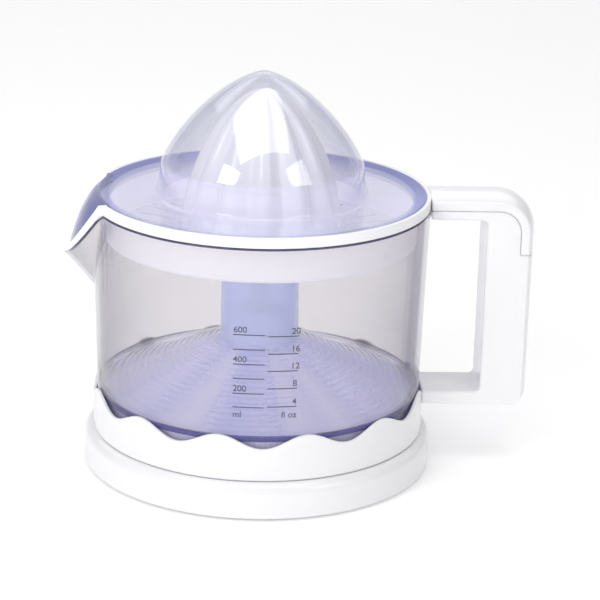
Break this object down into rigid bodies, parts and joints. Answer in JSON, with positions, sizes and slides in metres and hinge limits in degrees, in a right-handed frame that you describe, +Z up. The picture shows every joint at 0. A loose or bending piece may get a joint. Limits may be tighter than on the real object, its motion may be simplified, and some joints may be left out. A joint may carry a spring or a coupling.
{
  "type": "electric citrus press",
  "caption": "Electric citrus press: round white base, clear jug with pouring lip and white handle, strainer tray, ribbed reamer on a geared shaft, and a clear domed cover.",
  "frame": {"origin": "on the table plane, on the drive axis", "axes": "+Z up along the drive axis, +X towards the handle, -X towards the pouring lip"},
  "size_m": [0.2109, 0.1622, 0.1804],
  "materials": {
    "white_abs": "glossy white moulding",
    "clear_jug": "clear moulding, faint grey",
    "blue_clear": "clear moulding, pale blue-violet",
    "reamer_white": "milky translucent white moulding",
    "rubber": "matt rubber",
    "steel": "plain steel",
    "zinc": "zinc-plated sheet",
    "nylon": "natural acetal or nylon",
    "black_plastic": "black moulding",
    "magnet": "sintered ferrite",
    "copper": "enamelled copper winding",
    "red_plastic": "red moulding"
  },
  "bodies": {
    "base": {"rubber_feet": "rubber", "base_pan": "white_abs", "base_screws": "zinc", "base_housing": "white_abs", "cord_gland": "rubber", "motor_shell": "zinc", "motor_plate": "zinc", "coil_bobbin": "nylon", "motor_coil": "copper", "gear_deck": "nylon", "gear_bridge": "nylon", "gearbox_screws": "zinc", "idler_axle": "steel", "shaft_bush": "nylon", "switch_body": "black_plastic"},
    "rotor": {"rotor": "magnet", "rotor_shaft": "steel", "motor_pinion": "nylon"},
    "idler": {"idler_gear": "nylon"},
    "output_gear": {"output_gear": "nylon", "return_spring": "steel"},
    "drive_shaft": {"drive_shaft": "nylon", "shaft_clip": "zinc"},
    "switch_lever": {"switch_lever": "zinc"},
    "switch_plunger": {"switch_plunger": "red_plastic"},
    "jug": {"jug_wall": "clear_jug", "jug_floor": "blue_clear", "jug_skirt": "white_abs", "handle_body": "white_abs", "handle_cover": "white_abs"},
    "strainer": {"strainer_tray": "white_abs"},
    "reamer_bush": {"reamer_bush": "nylon"},
    "reamer": {"reamer": "reamer_white"},
    "cover": {"dust_cover": "blue_clear"}
  },
  "joints": [
    {"name": "rotor_spin", "type": "hinge", "parent": "base", "child": "rotor", "pos_m": [-0.03, 0.02793, 0], "axis": [0, 0, 1], "continuous": true},
    {"name": "idler_spin", "type": "hinge", "parent": "base", "child": "idler", "pos_m": [-0.028, 0, 0], "axis": [0, 0, 1], "continuous": true},
    {"name": "output_spin", "type": "hinge", "parent": "base", "child": "output_gear", "pos_m": [0, 0, 0], "axis": [0, 0, 1], "continuous": true},
    {"name": "shaft_press", "type": "slide", "parent": "output_gear", "child": "drive_shaft", "axis": [0, 0, -1], "range_m": [0, 0.002], "stiffness_N_per_m": 900, "springref_m": -0.001, "deforming": ["return_spring"]},
    {"name": "switch_lever_turn", "type": "hinge", "parent": "base", "child": "switch_lever", "pos_m": [0.025, 0, 0.0146], "axis": [0, -1, 0], "range_deg": [0, 5]},
    {"name": "switch_plunger_slide", "type": "slide", "parent": "base", "child": "switch_plunger", "axis": [0, 0, -1], "range_m": [0, 0.0012]},
    {"name": "jug_lift", "type": "slide", "parent": "base", "child": "jug", "axis": [0, 0, 1], "range_m": [0, 0.12]},
    {"name": "strainer_lift", "type": "slide", "parent": "jug", "child": "strainer", "axis": [0, 0, 1], "range_m": [0, 0.05]},
    {"name": "reamer_press", "type": "slide", "parent": "strainer", "child": "reamer_bush", "axis": [0, 0, -1], "range_m": [0, 0.002], "stiffness_N_per_m": 1500, "springref_m": -0.002},
    {"name": "reamer_spin", "type": "hinge", "parent": "reamer_bush", "child": "reamer", "pos_m": [0, 0, 0], "axis": [0, 0, 1], "continuous": true},
    {"name": "cover_lift", "type": "slide", "parent": "strainer", "child": "cover", "axis": [0, 0, 1], "range_m": [0, 0.08]}
  ],
  "couplings": [
    {"joint": "idler_spin", "follows": "rotor_spin", "ratio": -0.33333},
    {"joint": "output_spin", "follows": "rotor_spin", "ratio": 0.11111},
    {"joint": "reamer_spin", "follows": "rotor_spin", "ratio": 0.11111},
    {"joint": "shaft_press", "follows": "reamer_press", "ratio": 1},
    {"joint": "switch_lever_turn", "follows": "reamer_press", "rad_per_m": 41},
    {"joint": "switch_plunger_slide", "follows": "reamer_press", "ratio": 0.55}
  ]
}
